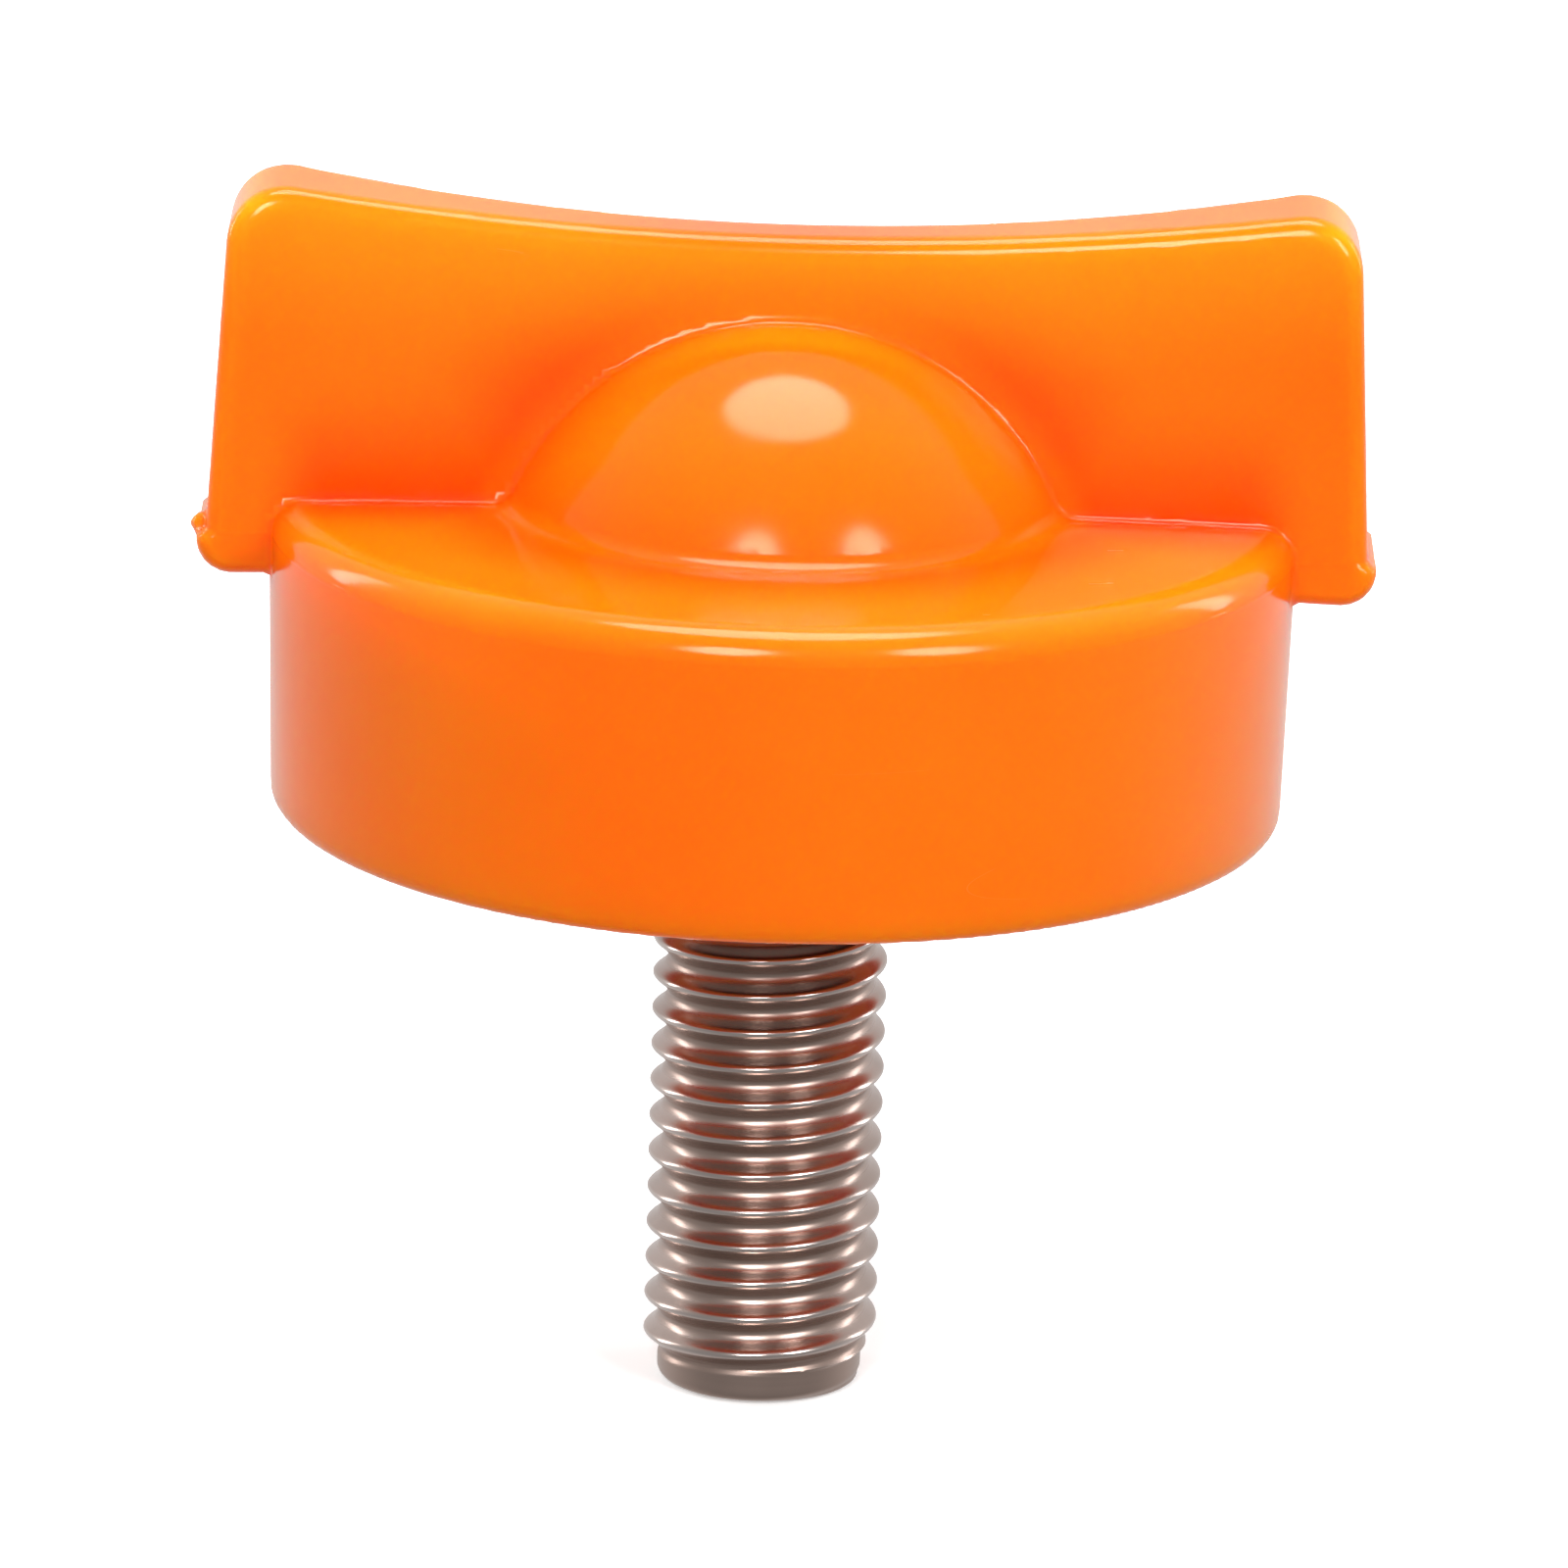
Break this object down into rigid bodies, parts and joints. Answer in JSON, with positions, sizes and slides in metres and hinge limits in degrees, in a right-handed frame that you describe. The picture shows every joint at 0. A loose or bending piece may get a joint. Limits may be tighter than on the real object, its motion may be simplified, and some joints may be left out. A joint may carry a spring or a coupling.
{
  "type": "wing screw",
  "caption": "Wing-headed hand screw: a round moulded plastic head with an upright wing grip over a dome, and a steel threaded stud moulded into it.",
  "frame": {"origin": "centre of the seating face under the head, on the screw's axis", "axes": "+Z along the screw's axis from its tip up through the wing, +X along the wing, +Y out of the wing's face"},
  "size_m": [0.0388, 0.034, 0.0409],
  "materials": {
    "head_plastic": "glossy orange polypropylene, lightly translucent",
    "screw_steel": "bright polished stainless steel with a rolled thread"
  },
  "bodies": {
    "wing_screw": {"wing_head": "head_plastic", "hex_screw": "screw_steel"}
  },
  "joints": []
}
